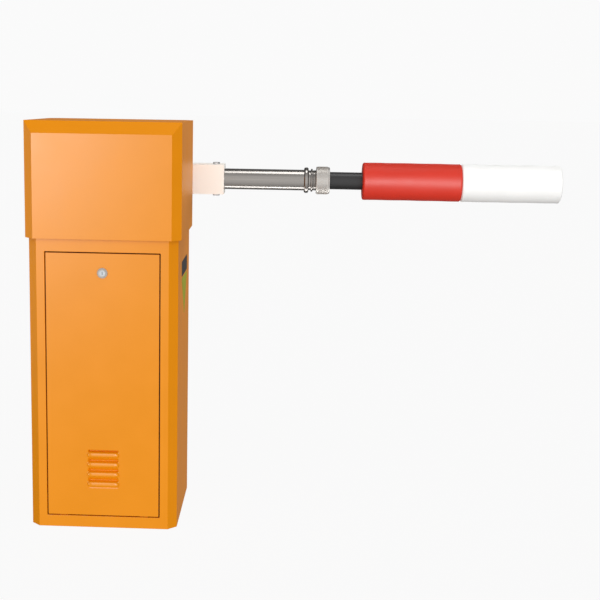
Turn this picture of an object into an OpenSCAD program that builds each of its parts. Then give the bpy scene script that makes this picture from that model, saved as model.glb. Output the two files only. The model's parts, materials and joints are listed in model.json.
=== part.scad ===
/* [Cabinet] */
// Width of the cabinet, left to right
cab_w = 362; // [340:1:440]
// Depth of the cabinet, front to back
cab_d = 342; // [330:1:420]
// Height of the cabinet walls
cab_h = 760; // [720:1:920]
// Chamfer of the upright corners, along each face
corner = 21; // [12:1:30]
// Thickness of the folded steel sheet
sheet = 2; // [1.5:0.5:3]
// Thickness of the base plate
base_t = 6; // [4:1:10]
// Anchor hole spacing, left to right
anchor_x = 260; // [220:5:280]
// Anchor hole spacing, front to back
anchor_y = 230; // [200:5:250]
// Radius of an anchor hole
anchor_r = 8; // [6:0.5:10]
// Radius of the cable entry in the base plate
cable_r = 40; // [20:1:50]
/* [Hood] */
// How far the hood stands out past the cabinet on every side
overhang = 7.5; // [6:0.5:14]
// How far the hood laps down over the cabinet
hood_lap = 39; // [20:1:60]
// Height of the hood's upright faces
hood_face = 250; // [225:1:300]
// Rise of the sloping band along the hood's front
bevel_rise = 29; // [15:1:40]
// How far that band leans back
bevel_run = 22; // [12:1:40]
// Fall of the hood's top towards the back
top_fall = 4; // [0:1:12]
/* [Door] */
// Width of the door
door_w = 274; // [225:1:290]
// Height of the door
door_h = 655; // [560:1:660]
// Height of the door's lower edge above the ground
sill_h = 32; // [25:1:45]
// Gap round the door
door_gap = 3; // [2.5:0.5:4]
// Depth of the door's folded edge
door_fold = 10; // [8:1:14]
// Width of the lip that the door closes against
lip_w = 10; // [8:1:16]
// Distance of the lock below the door's top edge
lock_drop = 47; // [35:1:52]
// Radius of the lock's collar
lock_r = 12.5; // [10:0.5:16]
/* [Louvres] */
// Number of louvres
louvre_count = 4; // [2:1:8]
// Length of a louvre
louvre_len = 79; // [50:1:140]
// Distance from one louvre to the next
louvre_pitch = 25; // [20:1:35]
// Height of a louvre
louvre_h = 13; // [8:1:18]
// How far a louvre stands out from the door
louvre_out = 4; // [2:0.5:6]
// Height of the lowest louvre above the door's lower edge
louvre_rise = 80; // [40:1:200]
/* [Drive] */
// Height of the main shaft above the cabinet's top edge
shaft_rise = 80; // [70:1:95]
// Radius of the main shaft
shaft_r = 20; // [16:1:22]
// Radius of the drive lever and of the gearbox crank
crank_len = 70; // [58:1:75]
// Distance from the main shaft down to the gearbox output
link_len = 250; // [240:1:290]
// Radius of the spring lever
spring_arm = 60; // [52:1:62]
// Outer radius of a balance spring
spring_r = 17; // [12:1:17]
// Height of the springs' lower pivot
spring_foot = 330; // [300:1:400]
/* [Boom] */
// Gap between the hood's back and the boom hub
hub_gap = 3.5; // [2:0.5:10]
// Thickness of the boom hub
hub_t = 16; // [12:1:24]
// Outer radius of the steel tube
tube_r = 27.5; // [22:0.5:33]
// Wall of the steel tube
tube_wall = 2.5; // [2:0.5:3]
// Least wall of the boom holder round the steel tube
holder_wall = 11.5; // [8:0.5:20]
// Where the holder ends, from the main shaft
holder_end = 268; // [240:1:300]
// Length of steel tube beyond the holder
tube_out = 213; // [150:1:400]
// Wall of the sleeve between the steel tube and the inner tube
sleeve_wall = 2; // [1.5:0.5:4]
// How far the collar stands out from the steel tube
collar_step = 6.5; // [4:0.5:12]
// Wall of the clamping nut over its thread
nut_wall = 9.5; // [6:0.5:14]
// Length of the clamping nut
nut_len = 36; // [34:1:50]
// Length of inner tube between the nut and the foam
core_out = 87; // [40:1:200]
// Thickness of the foam sleeves
foam_wall = 27; // [15:1:40]
// Length of one foam sleeve
foam_len = 261; // [150:1:600]

/* [Hidden] */
// shared clearances
run = 0.05;     // radial, shaft in bearing
free = 0.3;     // between pieces that pass each other
screw_gap = 0.5; // radial, screw in a through hole

// cabinet and hood
half_w = cab_w / 2;
half_d = cab_d / 2;
front = -half_d;
fold_cut = 2 - sqrt(2); // how much less an inner chamfer is, per unit of wall
flange_w = 14;
plate_t = 6;
plate_inset = 5;
plate_top = cab_h + plate_t;
plate_bolt_in = 40;
hood_screw_in = 31;
hood_screw_r = 4;
hood_tab_half = 25;
hood_tab_t = 2;
hood_tab_h = 40;
hood_w = cab_w + 2 * overhang;
hood_d = cab_d + 2 * overhang;
hood_half_w = hood_w / 2;
hood_half_d = hood_d / 2;
hood_z = cab_h - hood_lap;
hood_shoulder = hood_z + hood_face;
hood_ridge = hood_shoulder + bevel_rise;
hood_corner = corner + 1;

// door
door_top = sill_h + door_h;
rebate = door_fold + 4;
lip_y = front + rebate;
seal_t = 4 - free;
hook_x = 100;
hook_w = 20;
hook_drop = 7;
lock_z = door_top - lock_drop;
lock_barrel = 11;
lock_head = 2;
plug_r = 7;
cam_y = lip_y + sheet + free;
cam_t = 3;
cam_len = lock_drop - 2;

// drive
shaft_z = cab_h + shaft_rise;
gear_z = shaft_z - link_len;
wall_t = 8;
front_wall = -60;
rear_wall = half_d - 29;
lever_t = 12;
drive_y = front_wall + wall_t + 6;
rod_y = drive_y + lever_t + 2;
pin_r = 8;
eye_r = 17;
clamp_t = 14; // material round the shaft in the drive lever's boss
spring_y = 70;
spring_gap = 2 * spring_r + 2;
bar_y = spring_y + spring_gap / 2 + spring_r + 5;
stop_y = bar_y + 2;
bearing_t = 16;
bearing_flange = 7;
rear_bearing_y = rear_wall + wall_t;
shield_y = rear_bearing_y + bearing_t;
wall_half = 70;
wall_top = shaft_z + 60;
slot_half = 110;
slot_front = -45;
slot_back = stop_y - 6;
crank_x = crank_len * cos(45);
crank_drop = crank_len * sin(45);
link_r = 5.5;
spring_rise = shaft_z - spring_foot;
spring_lean = atan2(spring_arm / 2, spring_rise);
spring_len = sqrt(pow(spring_arm / 2, 2) + pow(spring_rise, 2));
plug_low = 22;
plug_high = 30;
spring_eye_half = 6;
foot_pin_r = 4;
foot_eye_r = 9;
top_pin_r = 7;
top_eye_r = 13;
adjuster_r = 6;
nut_across = 19;

// gearbox and motor
gear_back = front_wall;
gear_front = gear_back - 80;
gear_mid = (gear_back + gear_front) / 2;
wheel_r = 42;
worm_r = 15.7;
worm_x = wheel_r + worm_r + free;
gear_half = 55;
out_r = 12.5;
worm_shaft_r = 8;
motor_r = 48;
motor_len = 165;
motor_top = gear_z - gear_half;
motor_low = motor_top - motor_len;
bracket_half = 100;
bracket_t = 8;

// boom
core_r = tube_r - tube_wall - sleeve_wall;
collar_r = tube_r + collar_step;
nut_r = tube_r + nut_wall;
foam_r = core_r + foam_wall;
hub_y = hood_half_d + hub_gap;
hub_r = shaft_r + 35;
holder_h = 2 * (tube_r + holder_wall);
holder_y = hub_y + hub_t;
boom_y = holder_y + holder_h / 2;
holder_back = boom_y + holder_h / 2;
tube_start = hub_r + 15;
tube_end = holder_end + tube_out;
bolt_x = holder_end - 22;
inner_bolt_x = tube_start + 40;
bolt_head = 16;
spigot = 50;
core_t = 2;
bolt_r = 5;
collar_t = 12;
neck_end = tube_end + collar_t + 50;
bead_x = tube_end + collar_t + 6;
bead_t = 5;
bead_step = 3;
nut_x = tube_end + collar_t + 20.5;
nut_end = nut_x + nut_len;
nut_cap = 5;
collet_r = tube_r - 2;
foam_x = nut_end + core_out;
foam_mid = foam_x + foam_len;
foam_end = foam_mid + foam_len;
cap_t = 5;
$fn = 64;

// ---- shared shapes ----

// eight-sided outline with chamfered corners
module outline(w, d, c) {
    polygon([
        [-w / 2 + c, -d / 2], [w / 2 - c, -d / 2], [w / 2, -d / 2 + c], [w / 2, d / 2 - c],
        [w / 2 - c, d / 2], [-w / 2 + c, d / 2], [-w / 2, d / 2 - c], [-w / 2, -d / 2 + c]
    ]);
}

// the cabinet's outline, moved in by an inset
module cabinet_outline(inset) {
    outline(cab_w - 2 * inset, cab_d - 2 * inset, corner - inset * fold_cut);
}

// box from its low corner to its high corner
module block(low, high) {
    translate(low) cube(high - low);
}

module rod_x(r, x0, x1) {
    translate([x0, 0, 0]) rotate([0, 90, 0]) cylinder(r = r, h = x1 - x0);
}

module rod_y(r, y0, y1) {
    translate([0, y0, 0]) rotate([-90, 0, 0]) cylinder(r = r, h = y1 - y0);
}

module both_sides() {
    children();
    mirror([1, 0, 0]) children();
}

// hexagon nut or bolt head, its axis along Z
module hexagon(across, t) {
    cylinder(r = across / sqrt(3), h = t, $fn = 6);
}

// lever in the XZ plane: a boss on the shaft and an arm to a pin hole
module lever(boss, bore, len, tip, pin, t) {
    difference() {
        union() {
            rod_y(boss, 0, t);
            translate([len, 0, 0]) rod_y(tip, 0, t);
            block([0, 0, -0.75 * tip], [len, t, 0.75 * tip]);
        }
        rod_y(bore, -1, t + 1);
        translate([len, 0, 0]) rod_y(pin, -1, t + 1);
    }
}

// ---- cabinet ----

module anchor_places() {
    for (x = [-anchor_x / 2, anchor_x / 2], y = [-anchor_y / 2, anchor_y / 2])
        translate([x, y, 0]) children();
}

module base_plate() {
    color("silver") difference() {
        linear_extrude(base_t) cabinet_outline(sheet);
        translate([0, 0, -1]) anchor_places() cylinder(r = anchor_r, h = base_t + 2);
        translate([0, 0, -1]) cylinder(r = cable_r, h = base_t + 2);
    }
}

// a frame in the plane of the front wall: the door's outline grown or shrunk
module door_block(grow, y0, y1) {
    block([-door_w / 2 - grow, y0, sill_h - grow], [door_w / 2 + grow, y1, door_top + grow]);
}

module cabinet_shell() {
    color("darkorange") difference() {
        union() {
            difference() {
                linear_extrude(cab_h) cabinet_outline(0);
                translate([0, 0, -1]) linear_extrude(cab_h - sheet + 1) cabinet_outline(sheet);
                translate([0, 0, cab_h - sheet - 1]) linear_extrude(sheet + 2)
                    cabinet_outline(sheet + flange_w);
            }
            door_block(door_gap + sheet, front + sheet / 2, lip_y + sheet);
        }
        door_block(door_gap, front - 1, lip_y);
        door_block(-lip_w, front - 1, lip_y + sheet + 1);
        for (x = [-hook_x, hook_x])
            block([x - hook_w / 2 - 2, front + 4, sill_h - door_gap - sheet - 1],
                [x + hook_w / 2 + 2, front + door_fold + 0.5, sill_h]);
    }
}

module door_seal() {
    color("black") difference() {
        door_block(door_gap, lip_y - seal_t, lip_y);
        door_block(-lip_w, lip_y - seal_t - 1, lip_y + 1);
    }
}

module plate_bolt_places() {
    for (x = [-half_w + plate_bolt_in, half_w - plate_bolt_in], y = [front + 10, half_d - 10])
        translate([x, y, 0]) children();
}

module mechanism_plate() {
    color("silver") difference() {
        translate([0, 0, cab_h]) linear_extrude(plate_t) cabinet_outline(plate_inset);
        block([-slot_half, slot_front, cab_h - 1], [slot_half, slot_back, plate_top + 1]);
        translate([0, 0, cab_h - 1]) hood_screw_places() cylinder(r = hood_screw_r + run, h = plate_t + 2);
    }
}

module plate_bolts() {
    color("gainsboro") translate([0, 0, plate_top]) plate_bolt_places() hexagon(13, 5);
}

// upright wall that carries a main bearing, its foot turned to one side
module bearing_wall(y, foot_y, foot_d) {
    difference() {
        union() {
            block([-wall_half, y, plate_top], [wall_half, y + wall_t, wall_top]);
            block([-wall_half, foot_y, plate_top], [wall_half, foot_y + foot_d, plate_top + wall_t]);
        }
        translate([0, 0, shaft_z]) rod_y(shaft_r + 4, y - 1, y + wall_t + 1);
        for (s = [-1, 1]) translate([s * (wall_half + 8), 0, wall_top + 8])
            rotate([0, 45, 0]) cube([50, 2 * cab_d, 50], center = true);
    }
}

module front_bearing_wall() {
    foot = 30;
    color("gray") bearing_wall(front_wall, front_wall - foot, foot);
}

module rear_bearing_wall() {
    foot = 20;
    color("gray") bearing_wall(rear_wall, rear_wall - foot, foot);
}

// flanged bearing housing on the main shaft
module shaft_bearing(y, out) {
    difference() {
        union() {
            translate([0, 0, shaft_z]) rod_y(shaft_r + 14, y, y + bearing_t);
            translate([0, 0, shaft_z]) rod_y(shaft_r + 26, out, out + bearing_flange);
        }
        translate([0, 0, shaft_z]) rod_y(shaft_r + run, y - 1, y + bearing_t + 1);
    }
}

module bearing_screws(y, turn) {
    circle_r = shaft_r + 20;
    for (a = [45:90:315])
        translate([circle_r * cos(a), y, shaft_z + circle_r * sin(a)]) rotate([turn, 0, 0]) hexagon(8, 4);
}

module front_bearing() {
    color("dimgray") {
        shaft_bearing(front_wall - bearing_t, front_wall - bearing_flange);
        bearing_screws(front_wall - bearing_flange, 90);
    }
}

module rear_bearing() {
    color("dimgray") {
        shaft_bearing(rear_bearing_y, rear_bearing_y);
        bearing_screws(rear_bearing_y + bearing_flange, -90);
    }
}

module shaft_shield() {
    color("darkorange") difference() {
        block([-wall_half, shield_y, plate_top + 2], [wall_half, shield_y + sheet, wall_top]);
        translate([0, 0, shaft_z]) rod_y(shaft_r + screw_gap, shield_y - 1, shield_y + sheet + 1);
    }
}

// ---- gearbox and motor ----

module gearbox_bracket() {
    color("gray") difference() {
        union() {
            block([-bracket_half, gear_back, motor_top + 2], [bracket_half, gear_back + wall_t, cab_h]);
            block([-bracket_half, gear_back - 50, cab_h - bracket_t], [bracket_half, gear_back, cab_h]);
        }
        translate([0, 0, gear_z]) rod_y(out_r + 4, gear_back - 1, gear_back + wall_t + 1);
    }
}

module gearbox_case() {
    color("slategray") difference() {
        union() {
            block([-gear_half, gear_front, gear_z - gear_half],
                [worm_x + 27, gear_back, gear_z + gear_half]);
            translate([worm_x, gear_mid, gear_z + gear_half]) cylinder(r = 20, h = 4);
        }
        translate([0, 0, gear_z]) {
            rod_y(wheel_r + 3, gear_front - 1, gear_back - 22);
            rod_y(out_r + run, gear_front, gear_back + 1);
        }
        translate([worm_x, gear_mid, gear_z - gear_half + 12])
            cylinder(r = worm_r + 3, h = 2 * gear_half - 24);
        translate([worm_x, gear_mid, gear_z - gear_half - 1])
            cylinder(r = worm_shaft_r + run, h = 2 * gear_half + 6);
    }
}

module gearbox_cover() {
    color("darkgray") translate([0, 0, gear_z]) {
        rod_y(wheel_r + 9, gear_front - 5, gear_front);
        rod_y(20, gear_front - 8, gear_front - 5);
    }
}

module gearbox_bolts() {
    circle_r = wheel_r + 4.5;
    color("gainsboro") {
        for (a = [0:60:300])
            translate([circle_r * cos(a), gear_front - 5, gear_z + circle_r * sin(a)])
                rotate([90, 0, 0]) hexagon(7, 3.5);
        for (x = [-gear_half - 12, worm_x + 35], z = [gear_z - 40, gear_z + 40])
            translate([x, gear_back, z]) rotate([90, 0, 0]) hexagon(13, 6);
    }
}

module motor_body() {
    fin_count = 28;
    color("slategray") translate([worm_x, gear_mid, 0]) difference() {
        union() {
            translate([0, 0, motor_low]) cylinder(r = motor_r - 5, h = motor_len);
            translate([0, 0, motor_top - 10]) cylinder(r = motor_r, h = 10);
            translate([0, 0, motor_low]) cylinder(r = motor_r, h = 10);
            for (i = [0:fin_count - 1]) rotate([0, 0, i * 360 / fin_count])
                block([motor_r - 8, -1.2, motor_low + 5], [motor_r - 0.5, 1.2, motor_top - 5]);
        }
        translate([0, 0, motor_top - 45]) cylinder(r = worm_shaft_r + run, h = 46);
    }
}

module motor_fan_cover() {
    fan_h = 28;
    color("dimgray") translate([worm_x, gear_mid, motor_low - fan_h]) difference() {
        cylinder(r = motor_r, h = fan_h);
        translate([0, 0, 2]) cylinder(r = motor_r - 2, h = fan_h - 4);
        for (a = [0:30:330]) rotate([0, 0, a]) block([16, -2, -1], [38, 2, 3]);
    }
}

module motor_terminal_box() {
    color("dimgray") block([worm_x - motor_r - 30, gear_mid - 26, motor_low + 60],
        [worm_x - motor_r, gear_mid + 26, motor_low + 118]);
}

// ---- stops, limit switches ----

arm_len = 58;
arm_half = 8;
stop_at = 44;
buffer_r = 10;
buffer_t = 14;
buffer_screw_r = 3;
buffer_mid = stop_y + lever_t / 2;

// one place for the boom-down stop, one turned a quarter for the boom-up stop
module stop_places() {
    translate([0, 0, shaft_z]) {
        children();
        rotate([0, -90, 0]) mirror([1, 0, 0]) children();
    }
}

module stop_brackets() {
    color("gray") stop_places() difference() {
        block([arm_half + free + buffer_t, stop_y - 4, stop_at - 12],
            [arm_half + free + buffer_t + 6, rear_wall, stop_at + 12]);
        translate([0, buffer_mid, stop_at]) rod_x(buffer_screw_r, arm_half, arm_half + buffer_t + 10);
    }
}

module stop_buffers() {
    color("black") stop_places() translate([0, buffer_mid, stop_at]) {
        rod_x(buffer_r, arm_half + free, arm_half + free + buffer_t);
        rod_x(buffer_screw_r, arm_half + free + buffer_t, arm_half + free + buffer_t + 6);
    }
}

module limit_switches() {
    color("crimson") for (s = [-1, 1]) {
        block([s * 22 - 10, front_wall - 50, shaft_z - 62], [s * 22 + 10, front_wall - 32, shaft_z - 34]);
        block([s * 22 - 6, front_wall - 32, shaft_z - 60], [s * 22 + 6, front_wall, shaft_z - 48]);
    }
}

// ---- springs' fixed end ----

module spring_places() {
    for (s = [-1, 1]) translate([-spring_arm / 2, spring_y + s * spring_gap / 2, 0]) children();
}

bar_z = spring_foot - 45;
bar_t = 6;
bar_half = 40;

module spring_anchor_bar() {
    color("gray") difference() {
        union() {
            block([-half_w + sheet, spring_y - bar_half, bar_z],
                [half_w - sheet, spring_y + bar_half, bar_z + bar_t]);
            both_sides() block([half_w - sheet - bar_t, spring_y - bar_half, bar_z - bar_half],
                [half_w - sheet, spring_y + bar_half, bar_z]);
        }
        translate([0, 0, bar_z - 1]) spring_places() cylinder(r = adjuster_r + screw_gap, h = bar_t + 2);
    }
}

module spring_adjusters() {
    color("silver") spring_places() {
        translate([0, 0, bar_z - 40]) cylinder(r = adjuster_r, h = spring_foot - 12 - bar_z + 40);
        translate([0, 0, bar_z - 10]) hexagon(nut_across, 10);
        translate([0, 0, bar_z + bar_t]) hexagon(nut_across, 8);
        translate([0, 0, spring_foot]) difference() {
            block([-10, -11, -18], [10, 11, 9]);
            block([-11, -spring_eye_half - free, -12], [11, spring_eye_half + free, 10]);
        }
        translate([0, 0, spring_foot]) rod_y(foot_pin_r, -13, 13);
    }
}

// ---- electrics ----

control_w = 220;
control_low = 70;
control_top = 265;
control_back = half_d - sheet;
control_front = control_back - 62;
control_wall = 3;
lid_t = 12;

module control_box() {
    color("lightgray") difference() {
        block([-control_w / 2, control_front, control_low], [control_w / 2, control_back, control_top]);
        block([-control_w / 2 + control_wall, control_front - 1, control_low + control_wall],
            [control_w / 2 - control_wall, control_back - control_wall, control_top - control_wall]);
    }
}

module control_lid() {
    color("gainsboro") difference() {
        union() {
            block([-control_w / 2, control_front - lid_t, control_low],
                [control_w / 2, control_front, control_top]);
            for (x = [-1, 1], z = [control_low + lid_t, control_top - lid_t])
                translate([x * (control_w / 2 - lid_t), 0, z])
                    rod_y(5, control_front - lid_t - 2, control_front - lid_t);
        }
        block([-control_w / 2 + control_wall, control_front - lid_t + control_wall, control_low + control_wall],
            [control_w / 2 - control_wall, control_front + 1, control_top - control_wall]);
    }
}

module cable_glands() {
    color("black") for (x = [-60:40:60]) translate([x, control_front + 30, control_low - 22]) {
        cylinder(r = 9, h = 12);
        translate([0, 0, 12]) hexagon(24, 10);
    }
}

rail_z = 420;
rail_y = control_back - 7.5;
rail_half = 150;
breaker_x = -145;
breaker_w = 36;

module din_rail() {
    color("silver") {
        block([-rail_half, rail_y, rail_z - 17.5], [rail_half, rail_y + 1, rail_z + 17.5]);
        block([-rail_half, rail_y + 1, rail_z - 12.5], [rail_half, control_back, rail_z + 12.5]);
    }
}

module circuit_breaker() {
    color("whitesmoke") {
        block([breaker_x, rail_y - 44, rail_z - 42], [breaker_x + breaker_w, rail_y, rail_z + 42]);
        block([breaker_x, rail_y - 62, rail_z - 22], [breaker_x + breaker_w, rail_y - 44, rail_z + 22]);
        block([breaker_x + 9, rail_y - 72, rail_z - 6], [breaker_x + breaker_w - 9, rail_y - 62, rail_z + 10]);
    }
}

module terminal_block() {
    way = 8;
    ways = 10;
    first = 55;
    color("lightsteelblue") for (i = [0:ways - 1])
        block([first + i * way, rail_y - 38, rail_z - 24],
            [first + (i + 1) * way - 2 * free, rail_y, rail_z + 24]);
}

module capacitor() {
    can_r = 20;
    can_x = -half_w + sheet + can_r + 4;
    can_y = -40;
    can_z = 470;
    color("silver") {
        translate([can_x, can_y, can_z]) cylinder(r = can_r, h = 90);
        block([-half_w + sheet, can_y - 12, can_z + 30], [can_x, can_y + 12, can_z + 50]);
    }
}

// ---- hood ----

module hood_screw_places() {
    for (x = [-half_w + hood_screw_in, half_w - hood_screw_in]) translate([x, 0, 0]) children();
}

module hood_screws() {
    color("silver") hood_screw_places() {
        translate([0, 0, cab_h - 16]) cylinder(r = 10, h = 16);
        translate([0, 0, cab_h]) cylinder(r = hood_screw_r, h = 24);
    }
}

// solid body of the hood, its faces moved in by an inset
module hood_block(inset) {
    intersection() {
        translate([0, 0, hood_z - 1]) linear_extrude(hood_face + bevel_rise + 2)
            outline(hood_w - 2 * inset, hood_d - 2 * inset, hood_corner - inset * fold_cut);
        rotate([90, 0, 90]) translate([0, 0, -hood_w]) linear_extrude(2 * hood_w) polygon([
            [-hood_half_d + inset, hood_z - inset],
            [-hood_half_d + inset, hood_shoulder - inset / 2],
            [-hood_half_d + bevel_run + inset / 2, hood_ridge - inset],
            [hood_half_d - inset, hood_ridge - top_fall - inset],
            [hood_half_d - inset, hood_z - inset]
        ]);
    }
}

module hood_shell() {
    notch = shaft_r + 5;
    color("darkorange") difference() {
        hood_block(0);
        hood_block(sheet);
        block([-notch, half_d, hood_z - 1], [notch, hood_half_d + 1, shaft_z]);
        translate([0, 0, shaft_z]) rod_y(notch, half_d, hood_half_d + 1);
    }
}

module hood_brackets() {
    wall_x = hood_half_w - sheet;
    color("gray") both_sides() difference() {
        union() {
            block([wall_x - hood_tab_t, -hood_tab_half, plate_top],
                [wall_x, hood_tab_half, plate_top + hood_tab_h]);
            block([half_w - hood_screw_in - 14, -hood_tab_half, plate_top],
                [wall_x, hood_tab_half, plate_top + hood_tab_t]);
        }
        translate([half_w - hood_screw_in, 0, plate_top - 1])
            cylinder(r = hood_screw_r + screw_gap, h = hood_tab_t + 2);
    }
}

// ---- door and lock ----

// one louvre as a long rounded blister on the door's outer face, open along its lower side
module louvre_form(inset) {
    r = (pow(louvre_h / 2, 2) + pow(louvre_out, 2)) / (2 * louvre_out);
    span = louvre_len / 2 - louvre_h / 2;
    intersection() {
        translate([0, front - louvre_out + r, 0]) union() {
            rod_x(r - inset, -span, span);
            for (s = [-1, 1]) translate([s * span, 0, 0]) sphere(r = r - inset);
        }
        block([-louvre_len / 2, front - louvre_out - 1, -louvre_h], [louvre_len / 2, front + sheet + 1, louvre_h]);
    }
}

module louvre_places() {
    for (i = [0:louvre_count - 1])
        translate([0, 0, sill_h + louvre_rise + i * louvre_pitch]) children();
}

module door_panel() {
    color("orange") difference() {
        union() {
            difference() {
                door_block(0, front, front + door_fold);
                door_block(-sheet, front + sheet, front + door_fold + 1);
            }
            louvre_places() louvre_form(0);
        }
        louvre_places() louvre_form(1.5);
        louvre_places() block([-louvre_len / 2 + 6, front - louvre_out - 1, -louvre_h],
            [louvre_len / 2 - 6, front, -louvre_h / 6]);
        translate([0, 0, lock_z]) rod_y(lock_barrel, front - 1, front + sheet + 1);
    }
}

module door_hooks() {
    color("silver") for (x = [-hook_x, hook_x])
        block([x - hook_w / 2, front + 5, sill_h - hook_drop], [x + hook_w / 2, front + 7, sill_h]);
}

module lock_body() {
    color("lightgray") translate([0, 0, lock_z]) difference() {
        union() {
            rod_y(lock_r, front - lock_head, front);
            rod_y(lock_barrel, front, cam_y - 2);
            translate([0, front + sheet, 0]) rotate([-90, 0, 0]) hexagon(28, 5);
        }
        rod_y(plug_r + run, front - 3, cam_y);
    }
}

module lock_plug() {
    color("silver") translate([0, 0, lock_z]) difference() {
        rod_y(plug_r, front - lock_head - 0.5, cam_y + cam_t + 3);
        block([-0.8, front - 3, -4.5], [0.8, front + 6, 4.5]);
    }
}

module lock_cam() {
    color("silver") translate([0, 0, lock_z]) difference() {
        union() {
            rod_y(lock_barrel, cam_y, cam_y + cam_t);
            block([0, cam_y, -plug_r], [cam_len, cam_y + cam_t, plug_r]);
        }
        rod_y(plug_r, cam_y - 1, cam_y + cam_t + 1);
    }
}

// ---- main shaft and what turns with it ----

module main_shaft() {
    color("silver") translate([0, 0, shaft_z]) {
        rod_y(shaft_r, front_wall - 54, holder_y);
    }
}

module drive_lever() {
    color("dimgray") translate([0, drive_y, shaft_z]) rotate([0, 45, 0])
        lever(shaft_r + clamp_t, shaft_r, crank_len, eye_r, pin_r, lever_t);
}

// pin with a head in front and a retaining ring behind the rod
module link_pin() {
    rod_y(pin_r, drive_y - 3, rod_y + lever_t + 4);
    rod_y(pin_r + 4, rod_y + lever_t + 1, rod_y + lever_t + 3);
}

module lever_pin() {
    color("silver") translate([crank_x, 0, shaft_z - crank_drop]) link_pin();
}

module spring_lever() {
    color("dimgray") {
        translate([0, spring_y - lever_t / 2, shaft_z]) mirror([1, 0, 0])
            lever(shaft_r + 12, shaft_r, spring_arm, top_eye_r + 2, top_pin_r, lever_t);
        translate([-spring_arm, 0, shaft_z])
            rod_y(top_pin_r, spring_y - spring_gap / 2 - 10, spring_y + spring_gap / 2 + 10);
    }
}

module stop_arm() {
    color("dimgray") translate([0, stop_y, shaft_z]) difference() {
        union() {
            rod_y(shaft_r + 8, 0, lever_t);
            block([-arm_half, 0, 0], [arm_half, lever_t, arm_len]);
        }
        rod_y(shaft_r, -1, lever_t + 1);
    }
}

module limit_cam() {
    disc_y = front_wall - 48;
    disc_t = 12;
    color("whitesmoke") translate([0, disc_y, shaft_z]) difference() {
        union() {
            rod_y(shaft_r + 6, 0, disc_t);
            rotate([0, 150, 0]) block([0, 0, -6], [shaft_r + 11, disc_t, 6]);
        }
        rod_y(shaft_r, -1, disc_t + 1);
    }
}

module hub_bolt_places() {
    circle_r = (shaft_r + hub_r) / 2;
    for (a = [45:90:315]) translate([circle_r * cos(a), 0, circle_r * sin(a)]) children();
}

module boom_hub() {
    color("lightgray") translate([0, 0, shaft_z]) difference() {
        rod_y(hub_r, hub_y, hub_y + hub_t);
        rod_y(shaft_r, hub_y - 1, holder_y + 1);
        hub_bolt_places() rod_y(bolt_r, hub_y + 4, holder_y + 1);
    }
}

module boom_holder() {
    half_h = holder_h / 2;
    color("floralwhite") translate([0, 0, shaft_z]) difference() {
        union() {
            block([0, holder_y, -half_h], [holder_end, holder_back, half_h]);
            rod_y(hub_r + 5, holder_y, holder_back);
        }
        translate([0, boom_y, 0]) rod_x(tube_r, tube_start, holder_end + 1);
        hub_bolt_places() rod_y(bolt_r, holder_y - 1, holder_back + 1);
        for (x = [bolt_x, inner_bolt_x]) translate([x, boom_y, -half_h - 1])
            cylinder(r = bolt_r, h = holder_h + 2);
    }
}

module hub_bolts() {
    color("silver") translate([0, 0, shaft_z]) hub_bolt_places() {
        rod_y(bolt_r, hub_y + 4, holder_back);
        translate([0, holder_back, 0]) rotate([-90, 0, 0]) hexagon(bolt_head, 6);
    }
}

module holder_bolts() {
    half_h = holder_h / 2;
    color("silver") for (x = [bolt_x, inner_bolt_x]) translate([x, boom_y, shaft_z]) {
        translate([0, 0, -half_h]) cylinder(r = bolt_r, h = holder_h);
        translate([0, 0, half_h]) hexagon(bolt_head, 5);
        translate([0, 0, -half_h - 6]) hexagon(bolt_head, 6);
    }
}

module boom_tube() {
    color("silver") translate([0, boom_y, shaft_z]) difference() {
        rod_x(tube_r, tube_start, tube_end);
        rod_x(tube_r - tube_wall, tube_start - 1, tube_end + 1);
        for (x = [bolt_x, inner_bolt_x]) translate([x, 0, -tube_r - 1])
            cylinder(r = bolt_r, h = 2 * tube_r + 2);
    }
}

module coupling_body() {
    color("silver") translate([0, boom_y, shaft_z]) difference() {
        union() {
            rod_x(tube_r - tube_wall, tube_end - spigot, tube_end);
            rod_x(collar_r, tube_end, tube_end + collar_t);
            rod_x(tube_r, tube_end + collar_t, neck_end);
            rod_x(tube_r + bead_step, bead_x, bead_x + bead_t);
        }
        rod_x(core_r + run, tube_end - spigot - 1, neck_end + 1);
        rod_x(collet_r, nut_x, neck_end + 1);
    }
}

module collet() {
    color("peru") translate([0, boom_y, shaft_z]) difference() {
        rod_x(collet_r, nut_x, nut_end - nut_cap - free);
        rod_x(core_r + run, nut_x - 1, nut_end);
    }
}

module coupling_nut() {
    grip_count = 24;
    color("lightgray") translate([0, boom_y, shaft_z]) difference() {
        union() {
            rod_x(nut_r - 3, nut_x, nut_end);
            rod_x(nut_r, nut_x + 4, nut_end - 8);
        }
        rod_x(tube_r + run, nut_x - 1, nut_end - nut_cap);
        rod_x(core_r + free, nut_x, nut_end + 1);
        for (i = [0:grip_count - 1]) rotate([i * 360 / grip_count, 0, 0])
            translate([0, 0, nut_r + 1]) rod_x(2, nut_x + 3, nut_end - 7);
    }
}

module inner_tube() {
    color("black") translate([0, boom_y, shaft_z]) difference() {
        rod_x(core_r, tube_end - spigot, foam_end - cap_t);
        rod_x(core_r - core_t, tube_end - spigot - 1, foam_end);
    }
}

module foam_sleeve(x0, x1) {
    translate([0, boom_y, shaft_z]) difference() {
        rod_x(foam_r, x0, x1);
        rod_x(core_r, x0 - 1, x1 + 1);
    }
}

module foam_red() {
    color("orangered") foam_sleeve(foam_x, foam_mid);
}

module foam_white() {
    color("white") foam_sleeve(foam_mid, foam_end - cap_t);
}

module end_cap() {
    color("white") translate([0, boom_y, shaft_z]) {
        rod_x(foam_r, foam_end - cap_t, foam_end);
        rod_x(core_r - core_t, foam_end - cap_t - 20, foam_end - cap_t);
    }
}

// ---- gearbox output, link and worm ----

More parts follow.
